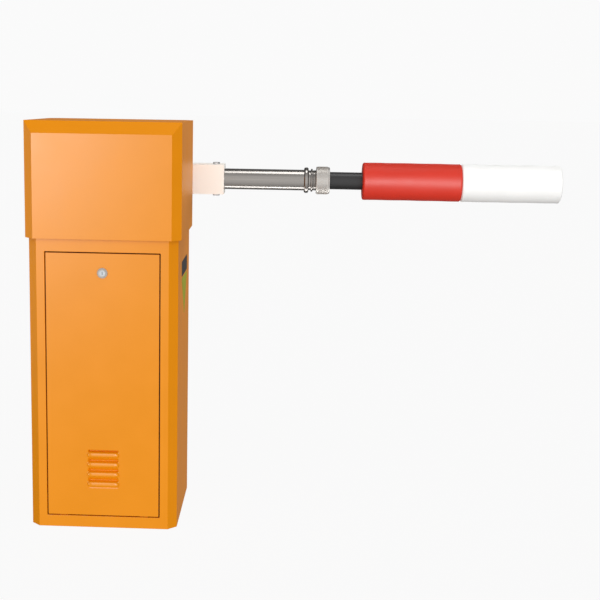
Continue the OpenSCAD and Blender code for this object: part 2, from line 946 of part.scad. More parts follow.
module gear_crank() {
    color("silver") {
        translate([0, drive_y, gear_z]) rotate([0, 45, 0])
            lever(out_r + 12, out_r - 1, crank_len, eye_r, pin_r - 1, lever_t);
        translate([0, 0, gear_z]) {
            rod_y(out_r, gear_front + 12, drive_y + lever_t);
            rod_y(wheel_r, gear_mid - 10, gear_mid + 10);
        }
        translate([crank_x, 0, gear_z - crank_drop]) link_pin();
    }
}

module link_rod() {
    color("gold") difference() {
        union() {
            for (z = [gear_z, shaft_z]) translate([crank_x, 0, z - crank_drop])
                rod_y(eye_r, rod_y, rod_y + lever_t);
            translate([crank_x, rod_y + lever_t / 2, gear_z - crank_drop])
                cylinder(r = link_r, h = link_len);
        }
        translate([crank_x, 0, shaft_z - crank_drop]) rod_y(pin_r + run, rod_y - 1, rod_y + lever_t + 1);
        translate([crank_x, 0, gear_z - crank_drop]) rod_y(pin_r + free, rod_y - 1, rod_y + lever_t + 1);
    }
}

module worm_shaft() {
    wheel_z = gear_z + gear_half + 10;
    grip_r = 36;
    color("crimson") translate([worm_x, gear_mid, 0]) {
        translate([0, 0, motor_top - 40]) cylinder(r = worm_shaft_r, h = wheel_z + 16 - motor_top + 40);
        translate([0, 0, gear_z - 36]) cylinder(r = worm_r, h = 72);
        translate([0, 0, wheel_z]) difference() {
            cylinder(r = grip_r, h = 12);
            translate([0, 0, 5]) cylinder(r = grip_r - 8, h = 8);
            for (a = [0:90:270]) rotate([0, 0, a]) translate([20, 0, -1]) cylinder(r = 6, h = 8);
        }
        translate([0, 0, wheel_z]) cylinder(r = 14, h = 16);
    }
}

// ---- springs ----

module on_springs() {
    spring_places() translate([0, 0, spring_foot]) rotate([0, -spring_lean, 0]) children();
}

module spring_eyes() {
    color("silver") on_springs() translate([0, 0, spring_len]) difference() {
        union() {
            rod_y(top_eye_r, -spring_eye_half, spring_eye_half);
            translate([0, 0, -plug_high - 16]) cylinder(r = top_pin_r, h = plug_high + 8);
        }
        rod_y(top_pin_r + run, -spring_eye_half - 1, spring_eye_half + 1);
    }
}

module balance_springs() {
    color("goldenrod") on_springs() {
        difference() {
            translate([0, 0, plug_low]) cylinder(r = spring_r, h = spring_len - plug_low - plug_high);
            translate([0, 0, plug_low + 4]) cylinder(r = top_pin_r + run, h = spring_len);
        }
        difference() {
            union() {
                rod_y(foot_eye_r, -spring_eye_half, spring_eye_half);
                cylinder(r = foot_pin_r + 1, h = plug_low);
            }
            rod_y(foot_pin_r + run, -spring_eye_half - 1, spring_eye_half + 1);
        }
    }
}

base_plate();
cabinet_shell();
door_seal();
mechanism_plate();
plate_bolts();
front_bearing_wall();
rear_bearing_wall();
front_bearing();
rear_bearing();
shaft_shield();
gearbox_bracket();
gearbox_case();
gearbox_cover();
gearbox_bolts();
motor_body();
motor_fan_cover();
motor_terminal_box();
stop_brackets();
stop_buffers();
limit_switches();
spring_anchor_bar();
spring_adjusters();
control_box();
control_lid();
cable_glands();
din_rail();
circuit_breaker();
terminal_block();
capacitor();
hood_screws();
door_panel();
door_hooks();
lock_body();
lock_plug();
lock_cam();
hood_shell();
hood_brackets();
main_shaft();
drive_lever();
lever_pin();
spring_lever();
stop_arm();
limit_cam();
boom_hub();
boom_holder();
hub_bolts();
holder_bolts();
boom_tube();
coupling_body();
collet();
inner_tube();
foam_red();
foam_white();
end_cap();
coupling_nut();
gear_crank();
link_rod();
worm_shaft();
spring_eyes();
balance_springs();
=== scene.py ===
"""Looks of a parking barrier gate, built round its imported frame. Metres; +X along the level boom, +Z up."""
import json
import math

import bmesh
import bpy
from bpy.props import FloatProperty, FloatVectorProperty, IntProperty, PointerProperty
from mathutils import Matrix, Vector

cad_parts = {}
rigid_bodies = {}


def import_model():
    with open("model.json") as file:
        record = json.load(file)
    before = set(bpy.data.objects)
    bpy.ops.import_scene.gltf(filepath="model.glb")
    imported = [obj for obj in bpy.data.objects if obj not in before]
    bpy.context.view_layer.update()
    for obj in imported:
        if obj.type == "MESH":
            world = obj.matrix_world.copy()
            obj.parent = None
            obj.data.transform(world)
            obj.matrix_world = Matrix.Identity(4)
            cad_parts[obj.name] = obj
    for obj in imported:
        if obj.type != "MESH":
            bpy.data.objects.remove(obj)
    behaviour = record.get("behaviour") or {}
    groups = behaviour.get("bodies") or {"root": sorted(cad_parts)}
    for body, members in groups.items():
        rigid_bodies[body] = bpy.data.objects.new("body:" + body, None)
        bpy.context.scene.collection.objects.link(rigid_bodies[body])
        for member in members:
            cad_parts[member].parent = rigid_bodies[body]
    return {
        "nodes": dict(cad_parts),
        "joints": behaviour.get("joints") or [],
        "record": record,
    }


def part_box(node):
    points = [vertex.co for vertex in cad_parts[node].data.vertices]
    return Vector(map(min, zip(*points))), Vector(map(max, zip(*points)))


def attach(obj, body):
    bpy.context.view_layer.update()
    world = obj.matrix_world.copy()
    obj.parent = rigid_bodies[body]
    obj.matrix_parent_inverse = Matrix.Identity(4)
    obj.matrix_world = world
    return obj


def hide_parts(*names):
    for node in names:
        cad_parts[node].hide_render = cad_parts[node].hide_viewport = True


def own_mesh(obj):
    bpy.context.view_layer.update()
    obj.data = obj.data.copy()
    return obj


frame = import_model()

bl_info = {
    "name": "Parking Barrier Gate",
    "version": (1, 0, 0),
    "blender": (4, 5, 0),
    "location": "View3D > Sidebar > Gate",
    "description": "Finishes and fine shapes of a parking barrier gate round its fixed frame",
    "category": "Object",
}

NODES = frame["nodes"]
MM = 0.001


def remove_start_objects():
    """The start-up cube, lamp and camera aren't part of the scene."""
    for item in list(bpy.data.objects):
        if item.name in ("Cube", "Light", "Camera"):
            bpy.data.objects.remove(item)


def linear(code):
    """Linear colour with full alpha from an sRGB hex value such as "F0932B"."""
    parts = [int(code[i:i + 2], 16) / 255 for i in (0, 2, 4)]
    return [c / 12.92 if c <= 0.04045 else ((c + 0.055) / 1.055) ** 2.4 for c in parts] + [1.0]


# ---------------------------------------------------------------- sizes and colours

class GateSizes(bpy.types.PropertyGroup):
    sheet_bend: FloatProperty(
        name="Sheet bend", description="Outer radius of the folded sheet's bends",
        default=2.2 * MM, unit="LENGTH")
    machined_edge: FloatProperty(
        name="Machined edge", description="Width of the broken edge on machined pieces",
        default=0.7 * MM, unit="LENGTH")
    cast_edge: FloatProperty(
        name="Cast edge", description="Edge radius of the cast boom holder",
        default=2.5 * MM, unit="LENGTH")
    foam_edge: FloatProperty(
        name="Foam edge", description="Radius of the foam sleeves' ends",
        default=6 * MM, unit="LENGTH")
    thread_pitch: FloatProperty(
        name="Thread pitch", description="Pitch of the coupling's thread",
        default=4 * MM, unit="LENGTH")
    nut_ribs: IntProperty(
        name="Nut ribs", description="Number of grip ribs round the clamping nut", default=60)
    spring_wire: FloatProperty(
        name="Spring wire", description="Diameter of the balance springs' wire",
        default=5 * MM, unit="LENGTH")
    spring_turns: IntProperty(
        name="Spring turns", description="Number of turns in a balance spring", default=62)


class GateColours(bpy.types.PropertyGroup):
    orange: FloatVectorProperty(
        name="Orange", description="Powder coat of the cabinet, door and hood",
        subtype="COLOR", size=4, default=linear("EC9008"))
    cream: FloatVectorProperty(
        name="Cream", description="Powder coat of the boom holder",
        subtype="COLOR", size=4, default=linear("FFFBF4"))
    red: FloatVectorProperty(
        name="Red", description="Vinyl skin of the red sleeve",
        subtype="COLOR", size=4, default=linear("DC3018"))
    white: FloatVectorProperty(
        name="White", description="Vinyl skin of the white sleeve",
        subtype="COLOR", size=4, default=linear("FAFAF8"))
    label: FloatVectorProperty(
        name="Label", description="Lower field of the plain side label",
        subtype="COLOR", size=4, default=linear("A3A818"))


# ---------------------------------------------------------------- materials

def add(tree, kind, inputs=None, **settings):
    """One node with its settings; an input is a value or another node's socket."""
    node = tree.nodes.new(kind)
    for key, value in settings.items():
        setattr(node, key, value)
    for key, value in (inputs or {}).items():
        if isinstance(value, bpy.types.NodeSocket):
            tree.links.new(value, node.inputs[key])
        else:
            node.inputs[key].default_value = value
    return node


def blank(name):
    """A new material with nothing in it but its output, and that material's node tree."""
    material = bpy.data.materials.new(name)
    material.use_nodes = True
    material.node_tree.nodes.clear()
    return material, material.node_tree


def finish_surface(tree, inputs):
    """Ends a material with one Principled shader."""
    shader = add(tree, "ShaderNodeBsdfPrincipled", inputs)
    add(tree, "ShaderNodeOutputMaterial", {"Surface": shader.outputs["BSDF"]})


def shades(tree, factor, low, high, from_min=0.35, from_max=0.65):
    """A colour that wanders from low to high with a pattern."""
    reach = add(tree, "ShaderNodeMapRange",
                {"Value": factor, "From Min": from_min, "From Max": from_max})
    mix = add(tree, "ShaderNodeMix", {"Factor": reach.outputs["Result"]}, data_type="RGBA")
    mix.inputs[6].default_value = low
    mix.inputs[7].default_value = high
    return mix.outputs[2]


def tint(colour, share):
    """The colour made lighter or darker by a share."""
    return [min(1.0, c * share) for c in colour[:3]] + [1.0]


def powder_coat(name, colour, roughness=0.36):
    """Powder-coated sheet steel, sprayed dry and baked: an even colour with a soft sheen
    and a faint orange-peel skin. The skin's 3 mm grain is about twice the real one, so it shows."""
    peel_size = 3 * MM
    patch_size = 90 * MM
    material, tree = blank(name)
    place = add(tree, "ShaderNodeTexCoord").outputs["Object"]
    patch = add(tree, "ShaderNodeTexNoise", {"Vector": place, "Scale": 1 / patch_size, "Detail": 3.0})
    peel = add(tree, "ShaderNodeTexNoise", {"Vector": place, "Scale": 1 / peel_size, "Detail": 1.5})
    gloss = add(tree, "ShaderNodeMapRange", {
        "Value": patch.outputs["Fac"], "To Min": roughness - 0.04, "To Max": roughness + 0.06})
    skin = add(tree, "ShaderNodeBump", {
        "Height": peel.outputs["Fac"], "Strength": 0.10, "Distance": 0.4 * MM})
    finish_surface(tree, {
        "Base Color": shades(tree, patch.outputs["Fac"], tint(colour, 0.985), tint(colour, 1.01)),
        "Roughness": gloss.outputs["Result"], "Normal": skin.outputs["Normal"],
        "Specular IOR Level": 0.1})
    return material


def drawn_steel(name, colour, roughness, along=(1, 0, 0), line=0.5 * MM):
    """Drawn and polished stainless steel: bright, with hair lines left along the drawing direction.
    The lines are a few times coarser than real ones, so they show."""
    material, tree = blank(name)
    place = add(tree, "ShaderNodeTexCoord").outputs["Object"]
    squeeze = [0.02 if axis else 1.0 for axis in along]
    lay = add(tree, "ShaderNodeMapping", {"Vector": place, "Scale": squeeze})
    hair = add(tree, "ShaderNodeTexNoise",
               {"Vector": lay.outputs["Vector"], "Scale": 1 / line, "Detail": 3.0})
    wide = add(tree, "ShaderNodeTexNoise",
               {"Vector": lay.outputs["Vector"], "Scale": 0.12 / line, "Detail": 2.0})
    gloss = add(tree, "ShaderNodeMapRange", {
        "Value": wide.outputs["Fac"], "To Min": roughness - 0.05, "To Max": roughness + 0.07})
    skin = add(tree, "ShaderNodeBump", {
        "Height": hair.outputs["Fac"], "Strength": 0.12, "Distance": 0.05 * MM})
    finish_surface(tree, {
        "Base Color": shades(tree, wide.outputs["Fac"], tint(colour, 0.93), tint(colour, 1.05)),
        "Metallic": 1.0, "Roughness": gloss.outputs["Result"], "Normal": skin.outputs["Normal"]})
    return material


def zinc_plate(name, colour, roughness=0.34):
    """Bright zinc-plated steel: silvery, cloudy from the bath, a little blue."""
    material, tree = blank(name)
    place = add(tree, "ShaderNodeTexCoord").outputs["Object"]
    cloud = add(tree, "ShaderNodeTexNoise", {"Vector": place, "Scale": 1 / (14 * MM), "Detail": 4.0})
    grain = add(tree, "ShaderNodeTexNoise", {"Vector": place, "Scale": 1 / (0.8 * MM), "Detail": 2.0})
    gloss = add(tree, "ShaderNodeMapRange", {
        "Value": cloud.outputs["Fac"], "To Min": roughness - 0.08, "To Max": roughness + 0.1})
    skin = add(tree, "ShaderNodeBump", {
        "Height": grain.outputs["Fac"], "Strength": 0.1, "Distance": 0.05 * MM})
    finish_surface(tree, {
        "Base Color": shades(tree, cloud.outputs["Fac"], tint(colour, 0.86), tint(colour, 1.08)),
        "Metallic": 1.0, "Roughness": gloss.outputs["Result"], "Normal": skin.outputs["Normal"]})
    return material


def grained(name, colour, grain, depth, roughness, spread=0.05, metallic=0.0, coat=0.0):
    """A cast, moulded or enamelled surface: one colour over a grain of a real size and depth."""
    material, tree = blank(name)
    place = add(tree, "ShaderNodeTexCoord").outputs["Object"]
    bumps = add(tree, "ShaderNodeTexNoise", {"Vector": place, "Scale": 1 / grain, "Detail": 3.0})
    cloud = add(tree, "ShaderNodeTexNoise", {"Vector": place, "Scale": 1 / (45 * MM), "Detail": 3.0})
    gloss = add(tree, "ShaderNodeMapRange", {
        "Value": cloud.outputs["Fac"], "To Min": roughness - 0.06, "To Max": roughness + 0.06})
    skin = add(tree, "ShaderNodeBump", {
        "Height": bumps.outputs["Fac"], "Strength": 0.5, "Distance": depth})
    finish_surface(tree, {
        "Base Color": shades(tree, cloud.outputs["Fac"], tint(colour, 1 - spread), tint(colour, 1 + spread)),
        "Metallic": metallic, "Roughness": gloss.outputs["Result"],
        "Normal": skin.outputs["Normal"], "Coat Weight": coat})
    return material


def vinyl_skin(name, colour, roughness=0.47):
    """Vinyl skin on closed-cell foam: a pressed leather grain of 2.5 mm cells, a soft broad gloss
    and slightly paler high spots."""
    cell = 2.5 * MM
    material, tree = blank(name)
    place = add(tree, "ShaderNodeTexCoord").outputs["Object"]
    warp = add(tree, "ShaderNodeTexNoise", {"Vector": place, "Scale": 1 / (9 * MM), "Detail": 2.0})
    bend = add(tree, "ShaderNodeMix", {"Factor": 0.004}, data_type="VECTOR")
    tree.links.new(place, bend.inputs[4])
    tree.links.new(warp.outputs["Color"], bend.inputs[5])
    cells = add(tree, "ShaderNodeTexVoronoi",
                {"Vector": bend.outputs[1], "Scale": 1 / cell}, feature="DISTANCE_TO_EDGE")
    rise = add(tree, "ShaderNodeMapRange", {"Value": cells.outputs["Distance"], "From Max": 0.25})
    cloud = add(tree, "ShaderNodeTexNoise", {"Vector": place, "Scale": 1 / (60 * MM), "Detail": 4.0})
    skin = add(tree, "ShaderNodeBump", {
        "Height": rise.outputs["Result"], "Strength": 0.22, "Distance": 0.3 * MM})
    gloss = add(tree, "ShaderNodeMapRange", {
        "Value": cloud.outputs["Fac"], "To Min": roughness - 0.05, "To Max": roughness + 0.08})
    finish_surface(tree, {
        "Base Color": shades(tree, cloud.outputs["Fac"], tint(colour, 0.975), tint(colour, 1.01)),
        "Roughness": gloss.outputs["Result"], "Normal": skin.outputs["Normal"],
        "Specular IOR Level": 0.3})
    return material


def wrapped_tube(name, colour):
    """Roll-wrapped composite tube, cured under tape: satin black with a fine 12 mm tape wrap
    left as shallow rings."""
    band = 12 * MM
    one_a_metre = 0.314  # the wave texture's scale for one band in a metre
    material, tree = blank(name)
    place = add(tree, "ShaderNodeTexCoord").outputs["Object"]
    lay = add(tree, "ShaderNodeMapping", {"Vector": place, "Rotation": (0, 0.25, 0.12)})
    wrap = add(tree, "ShaderNodeTexWave", {
        "Vector": lay.outputs["Vector"], "Scale": one_a_metre / band, "Distortion": 0.4,
        "Detail": 1.0}, wave_profile="SAW")
    grain = add(tree, "ShaderNodeTexNoise", {"Vector": place, "Scale": 1 / (1.5 * MM), "Detail": 2.0})
    gloss = add(tree, "ShaderNodeMapRange", {
        "Value": grain.outputs["Fac"], "To Min": 0.34, "To Max": 0.46})
    skin = add(tree, "ShaderNodeBump", {
        "Height": wrap.outputs["Fac"], "Strength": 0.12, "Distance": 0.1 * MM})
    finish_surface(tree, {
        "Base Color": shades(tree, grain.outputs["Fac"], tint(colour, 0.8), tint(colour, 1.25)),
        "Roughness": gloss.outputs["Result"], "Normal": skin.outputs["Normal"]})
    return material


def build_materials(colours):
    """Every finish of the gate, under the name of the record's slot that it is for."""
    return {
        "orange_paint": powder_coat("orange powder-coated steel", list(colours.orange)),
        "white_paint": powder_coat("cream powder-coated casting", list(colours.cream), 0.45),
        "grey_paint": grained("grey machinery enamel", linear("6E7478"), 2.5 * MM, 0.1 * MM, 0.42),
        "motor_paint": grained("hammered blue-grey enamel", linear("4B5660"), 3 * MM, 0.25 * MM, 0.4,
                               coat=0.2),
        "zinc_steel": zinc_plate("zinc-plated steel", linear("C9CCCF")),
        "bright_steel": drawn_steel("ground shaft steel", linear("B9BDC0"), 0.24, (0, 1, 0)),
        "stainless": drawn_steel("drawn stainless steel", linear("8E8A86"), 0.22),
        "cast_iron": grained("grey-painted cast iron", linear("8A8C8D"), 1.6 * MM, 0.25 * MM, 0.55),
        "nut_metal": grained("bead-blasted aluminium", linear("C4C0BB"), 0.9 * MM, 0.08 * MM, 0.5,
                             0.03, 1.0),
        "spring_steel": zinc_plate("oiled spring steel", linear("7C7E80"), 0.3),
        "brass": grained("turned brass", linear("C9A24B"), 0.8 * MM, 0.03 * MM, 0.25, 0.04, 1.0),
        "black_rubber": grained("black rubber", linear("1B1B1C"), 1.2 * MM, 0.1 * MM, 0.7),
        "black_tube": wrapped_tube("wrapped composite tube", linear("232425")),
        "red_foam": vinyl_skin("red vinyl-skinned foam", list(colours.red)),
        "white_foam": vinyl_skin("white vinyl-skinned foam", list(colours.white), 0.5),
        "light_plastic": grained("light grey moulded plastic", linear("D9DBDA"), 1 * MM, 0.06 * MM, 0.5),
        "blue_plastic": grained("blue-grey moulded plastic", linear("8FA6B8"), 1 * MM, 0.06 * MM, 0.45),
        "red_plastic": grained("red moulded plastic", linear("B3261E"), 1 * MM, 0.04 * MM, 0.32),
        "black_plastic": grained("black moulded plastic", linear("222425"), 1 * MM, 0.08 * MM, 0.5),
        "label_film": grained("printed vinyl film", list(colours.label), 1 * MM, 0.02 * MM, 0.6),
        "can_metal": grained("drawn aluminium can", linear("C9CBCC"), 1 * MM, 0.03 * MM, 0.3, 0.03, 1.0),
    }


MATERIALS = {}
SLOT_OF = {row["node"]: row["material_slot"] for row in frame["record"]["subparts"]}
BODY_OF = {node: body for body, nodes in frame["record"]["behaviour"]["bodies"].items()
           for node in nodes}


# ---------------------------------------------------------------- mesh tools

def object_from(name, mesh, slot):
    """A new object at the origin with its finish, not yet riding on a body."""
    item = bpy.data.objects.new(name, mesh)
    bpy.context.scene.collection.objects.link(item)
    item.data.materials.clear()
    item.data.materials.append(MATERIALS[slot])
    return item


LARGE_FACE = 0.002  # square metres; a face this large is a flat sheet


def smooth(mesh, sharp_degrees=35):
    """Smooth shading, with hard edges kept where faces meet at more than the angle given, and with
    large flat faces left flat."""
    mesh.polygons.foreach_set("use_smooth", [True] * len(mesh.polygons))
    mesh.set_sharp_from_angle(angle=math.radians(sharp_degrees))
    for face in mesh.polygons:
        face.use_smooth = face.area < LARGE_FACE


def finished(form, name, sharp_degrees=None):
    """The mesh of a finished form, smooth-shaded if an angle for its hard edges is given."""
    mesh = bpy.data.meshes.new(name)
    form.to_mesh(mesh)
    form.free()
    if sharp_degrees:
        smooth(mesh, sharp_degrees)
    return mesh


def soften(item, width, segments):
    """A bevel on an object's sharp edges."""
    bevel = item.modifiers.new("edges", "BEVEL")
    bevel.width = width
    bevel.segments = segments
    bevel.limit_method = "ANGLE"
    bevel.angle_limit = math.radians(28)
    return bevel


def merged_copy(node):
    """A closed, joined-up copy of a frame node's mesh, its flat areas as whole faces."""
    form = bmesh.new()
    form.from_mesh(NODES[node].data)
    bmesh.ops.remove_doubles(form, verts=form.verts, dist=1e-6)
    bmesh.ops.dissolve_limit(form, angle_limit=math.radians(0.4), verts=form.verts, edges=form.edges,
                             delimit={"NORMAL"})
    return finished(form, node)


def rounded_piece(name, node, width, segments=3):
    """A frame node's shape with its sharp edges rounded, standing for that node."""
    mesh = merged_copy(node)
    smooth(mesh)
    item = object_from(name, mesh, SLOT_OF[node])
    soften(item, width, segments).harden_normals = True
    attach(item, BODY_OF[node])
    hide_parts(node)


def filleted(points, radii, steps=5):
    """The points of a closed outline with each corner rounded to its radius."""
    outline = []
    for i, (point, radius) in enumerate(zip(points, radii)):
        here = Vector(point)
        before = Vector(points[i - 1]) - here
        after = Vector(points[(i + 1) % len(points)]) - here
        turn = before.angle(after)
        if radius <= 0 or turn > math.radians(179):
            outline.append(tuple(here))
            continue
        reach = min(radius / math.tan(turn / 2), 0.49 * before.length, 0.49 * after.length)
        fit = reach * math.tan(turn / 2)
        before, after = before.normalized(), after.normalized()
        middle = here + (before + after).normalized() * fit / math.sin(turn / 2)
        start = here + before * reach - middle
        finish = here + after * reach - middle
        sweep = math.copysign(math.pi - turn, start.cross(finish))
        for step in range(steps + 1):
            angle = sweep * step / steps
            outline.append((middle.x + start.x * math.cos(angle) - start.y * math.sin(angle),
                            middle.y + start.x * math.sin(angle) + start.y * math.cos(angle)))
    return outline


def turned(name, outline, place, slot, segments=96, shift=None):
    """A ring turned about the local X axis from a closed (x, radius) outline, then placed."""
    form = bmesh.new()
    rings = []
    for k in range(segments):
        angle = 2 * math.pi * k / segments
        ring = []
        for x, r in outline:
            out = r + (shift(x, r, angle) if shift else 0.0)
            ring.append(form.verts.new(place @ Vector((x, out * math.sin(angle), out * math.cos(angle)))))
        rings.append(ring)
    for k, here in enumerate(rings):
        there = rings[(k + 1) % segments]
        for i in range(len(outline)):
            j = (i + 1) % len(outline)
            form.faces.new((here[i], here[j], there[j], there[i]))
    bmesh.ops.recalc_face_normals(form, faces=form.faces)
    return object_from(name, finished(form, name, 50), slot)


def node_mesh(name, tree, values, slot):
    """Runs a Geometry Nodes tree once and returns its result as a plain mesh object."""
    holder = bpy.data.objects.new(name + "_source", bpy.data.meshes.new(name + "_source"))
    bpy.context.scene.collection.objects.link(holder)
    run = holder.modifiers.new("build", "NODES")
    run.node_group = tree
    for socket in tree.interface.items_tree:
        if socket.item_type == "SOCKET" and socket.in_out == "INPUT" and socket.name in values:
            run[socket.identifier] = values[socket.name]
    graph = bpy.context.evaluated_depsgraph_get()
    mesh = bpy.data.meshes.new_from_object(holder.evaluated_get(graph))
    holder.modifiers.remove(run)
    bpy.data.objects.remove(holder)
    mesh.name = name
    if not mesh.polygons:
        raise RuntimeError(f"{name}: the node tree made no faces")
    return object_from(name, mesh, slot)


def new_tree(name, sockets):
    """A Geometry Nodes tree with named inputs: {name: (socket type, default)}."""
    tree = bpy.data.node_groups.new(name, "GeometryNodeTree")
    for label, (kind, default) in sockets.items():
        socket = tree.interface.new_socket(label, in_out="INPUT", socket_type=kind)
        if default is not None:
            socket.default_value = default
    tree.interface.new_socket("Geometry", in_out="OUTPUT", socket_type="NodeSocketGeometry")
    return tree, add(tree, "NodeGroupInput").outputs


def end_tree(tree, geometry, material):
    """Realizes the instances, sets the finish and ends the tree."""
    real = add(tree, "GeometryNodeRealizeInstances", {"Geometry": geometry})
    done = add(tree, "GeometryNodeSetMaterial", {"Geometry": real.outputs["Geometry"], "Material": material})
    add(tree, "NodeGroupOutput", {"Geometry": done.outputs["Geometry"]})


def coil_tree(name, material):
    """A round wire wound on a cylinder: the helix starts at Start and runs along local +Z,
    then the whole coil is turned and placed."""
    tree, given = new_tree(name, {
        "Turns": ("NodeSocketFloat", 10.0), "Radius": ("NodeSocketFloat", 0.01),
        "Height": ("NodeSocketFloat", 0.1), "Wire": ("NodeSocketFloat", 0.002),
        "Steps": ("NodeSocketInt", 20), "Sides": ("NodeSocketInt", 8),
        "Place": ("NodeSocketVector", None), "Turn": ("NodeSocketVector", None)})
    spiral = add(tree, "GeometryNodeCurveSpiral", {
        "Resolution": given["Steps"], "Rotations": given["Turns"], "Start Radius": given["Radius"],
        "End Radius": given["Radius"], "Height": given["Height"]})
    half = add(tree, "ShaderNodeMath", {0: given["Wire"], 1: 2.0}, operation="DIVIDE")
    wire = add(tree, "GeometryNodeCurvePrimitiveCircle",
               {"Resolution": given["Sides"], "Radius": half.outputs[0]})
    swept = add(tree, "GeometryNodeCurveToMesh", {
        "Curve": spiral.outputs["Curve"], "Profile Curve": wire.outputs["Curve"], "Fill Caps": True})
    placed = add(tree, "GeometryNodeTransform", {
        "Geometry": swept.outputs["Mesh"], "Translation": given["Place"], "Rotation": given["Turn"]})
    even = add(tree, "GeometryNodeSetShadeSmooth", {"Geometry": placed.outputs["Geometry"]})
    end_tree(tree, even.outputs["Geometry"], material)
    return tree


def ring_tree(name, item, material):
    """Copies of one small piece set evenly round the boom's centre line, each turned outwards."""
    tree, given = new_tree(name, {
        "Count": ("NodeSocketInt", 12), "Radius": ("NodeSocketFloat", 0.02),
        "Place": ("NodeSocketVector", None)})
    circle = add(tree, "GeometryNodeMeshCircle", {"Vertices": given["Count"], "Radius": given["Radius"]})
    index = add(tree, "GeometryNodeInputIndex")
    step = add(tree, "ShaderNodeMath", {0: 2 * math.pi, 1: given["Count"]}, operation="DIVIDE")
    angle = add(tree, "ShaderNodeMath", {0: index.outputs[0], 1: step.outputs[0]}, operation="MULTIPLY")
    facing = add(tree, "ShaderNodeCombineXYZ", {"Z": angle.outputs[0]})
    piece = add(tree, "GeometryNodeObjectInfo", {"Object": item})
    copies = add(tree, "GeometryNodeInstanceOnPoints", {
        "Points": circle.outputs["Mesh"], "Instance": piece.outputs["Geometry"],
        "Rotation": facing.outputs["Vector"]})
    placed = add(tree, "GeometryNodeTransform", {
        "Geometry": copies.outputs["Instances"], "Rotation": (0, math.pi / 2, 0),
        "Translation": given["Place"]})
    end_tree(tree, placed.outputs["Geometry"], material)
    return tree


def grid_tree(name, item, material):
    """Copies of one small piece on the points of a list of places."""
    tree, given = new_tree(name, {"Points": ("NodeSocketObject", None)})
    points = add(tree, "GeometryNodeObjectInfo", {"Object": given["Points"]})
    piece = add(tree, "GeometryNodeObjectInfo", {"Object": item})
    copies = add(tree, "GeometryNodeInstanceOnPoints", {
        "Points": points.outputs["Geometry"], "Instance": piece.outputs["Geometry"]})
    end_tree(tree, copies.outputs["Instances"], material)
    return tree


def scattered(name, places, source, body, slot):
    """One plain mesh of a small piece repeated at the places given, riding on a body."""
    dots = bpy.data.meshes.new(name + "_places")
    dots.from_pydata([tuple(p) for p in places], [], [])
    marks = bpy.data.objects.new(name + "_places", dots)
    bpy.context.scene.collection.objects.link(marks)
    item = node_mesh(name, grid_tree(name, source, MATERIALS[slot]), {"Points": marks}, slot)
    bpy.data.objects.remove(marks)
    bpy.data.objects.remove(source)
    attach(item, body)
    return item


# ---------------------------------------------------------------- places read from the frame

def boom_line():
    """A point at x = 0 on the boom's centre line."""
    low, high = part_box("boom_tube")
    return Vector((0, (low.y + high.y) / 2, (low.z + high.z) / 2))


def on_boom():
    """Places a turned piece on the boom's centre line."""
    return Matrix.Translation(boom_line())


def round_radius(node):
    """Radius of a round node of the boom, from its height."""
    low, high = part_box(node)
    return (high.z - low.z) / 2


# ---------------------------------------------------------------- operators

